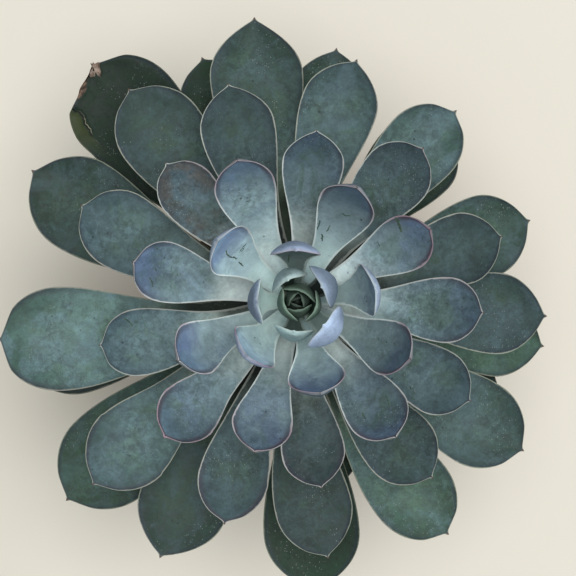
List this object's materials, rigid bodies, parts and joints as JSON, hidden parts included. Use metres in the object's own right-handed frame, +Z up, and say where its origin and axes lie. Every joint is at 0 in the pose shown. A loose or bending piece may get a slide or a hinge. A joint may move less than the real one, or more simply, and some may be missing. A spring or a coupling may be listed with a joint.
{
  "type": "potted grande cinza echeveria",
  "caption": "Wide flat succulent rosette of thick, cupped, grey-blue leaves with pale rims and pointed tips, on a short stem in a plain clay pot of soil.",
  "frame": {"origin": "centre of the pot's round resting face, on the axis of the pot and the stem", "axes": "+Z up along the stem; +Y is the top of the picture and +X its right, seen from above"},
  "size_m": [0.1867, 0.1972, 0.152],
  "materials": {
    "pot_clay": "matte",
    "potting_soil": "matte",
    "stem_bark": "matte",
    "leaf_inner": "matte",
    "leaf_middle": "matte",
    "leaf_outer": "matte"
  },
  "bodies": {
    "root": {"pot": "pot_clay", "soil": "potting_soil", "stem": "stem_bark", "bud": "leaf_inner", "leaf_01": "leaf_inner", "leaf_02": "leaf_inner", "leaf_03": "leaf_inner", "leaf_04": "leaf_inner", "leaf_05": "leaf_inner", "leaf_06": "leaf_inner", "leaf_07": "leaf_inner", "leaf_08": "leaf_inner", "leaf_09": "leaf_inner", "leaf_10": "leaf_inner", "leaf_11": "leaf_middle", "leaf_12": "leaf_middle", "leaf_13": "leaf_middle", "leaf_14": "leaf_middle", "leaf_15": "leaf_middle", "leaf_16": "leaf_middle", "leaf_17": "leaf_middle", "leaf_18": "leaf_middle", "leaf_19": "leaf_middle", "leaf_20": "leaf_middle", "leaf_21": "leaf_middle", "leaf_22": "leaf_middle", "leaf_23": "leaf_middle", "leaf_24": "leaf_middle", "leaf_25": "leaf_middle", "leaf_26": "leaf_middle", "leaf_27": "leaf_middle", "leaf_28": "leaf_middle", "leaf_29": "leaf_middle", "leaf_30": "leaf_middle", "leaf_31": "leaf_middle", "leaf_32": "leaf_outer", "leaf_33": "leaf_outer", "leaf_34": "leaf_outer", "leaf_35": "leaf_outer", "leaf_36": "leaf_outer", "leaf_37": "leaf_outer", "leaf_38": "leaf_outer", "leaf_39": "leaf_outer", "leaf_40": "leaf_outer", "leaf_41": "leaf_outer", "leaf_42": "leaf_outer", "leaf_43": "leaf_outer", "leaf_44": "leaf_outer", "leaf_45": "leaf_outer", "leaf_46": "leaf_outer", "leaf_47": "leaf_outer", "leaf_48": "leaf_outer", "leaf_49": "leaf_outer", "leaf_50": "leaf_outer", "leaf_51": "leaf_outer", "leaf_52": "leaf_outer", "leaf_53": "leaf_outer", "leaf_54": "leaf_outer"}
  },
  "joints": []
}
